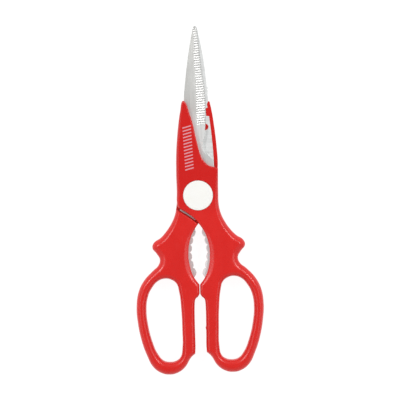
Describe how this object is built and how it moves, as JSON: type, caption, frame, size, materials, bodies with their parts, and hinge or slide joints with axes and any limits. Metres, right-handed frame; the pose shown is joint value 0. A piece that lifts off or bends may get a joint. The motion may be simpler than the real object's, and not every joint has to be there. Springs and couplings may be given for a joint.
{
  "type": "poultry shears",
  "caption": "Hand shears for jointing poultry: fluted steel blades with a bone notch, moulded covers and finger-loop handles, and a toothed nutcracker opening below a capped pivot.",
  "frame": {"origin": "on the pivot axis, at the outer flat face of the rear cap, which is the plane that the shears rest on", "axes": "+Y from the pivot to the blade tips, +Z out of the front face along the pivot axis, +X to the side of the front half's finger loop"},
  "size_m": [0.077, 0.2104, 0.0112],
  "materials": {
    "blade_steel": "ground and fluted stainless steel",
    "red_plastic": "satin gloss moulded ABS",
    "white_plastic": "smooth moulded",
    "pivot_steel": "turned stainless steel"
  },
  "bodies": {
    "front_half": {"front_blade": "blade_steel", "front_handle": "red_plastic", "front_cap": "white_plastic", "pivot_screw": "pivot_steel", "pivot_barrel": "pivot_steel", "front_washer": "pivot_steel", "rear_spring_washer": "pivot_steel"},
    "rear_half": {"rear_blade": "blade_steel", "rear_handle": "red_plastic", "rear_cap": "white_plastic"}
  },
  "joints": [
    {"name": "pivot", "type": "hinge", "parent": "front_half", "child": "rear_half", "pos_m": [0, 0, 0.0056], "axis": [0, 0, -1], "range_deg": [0, 60]}
  ]
}
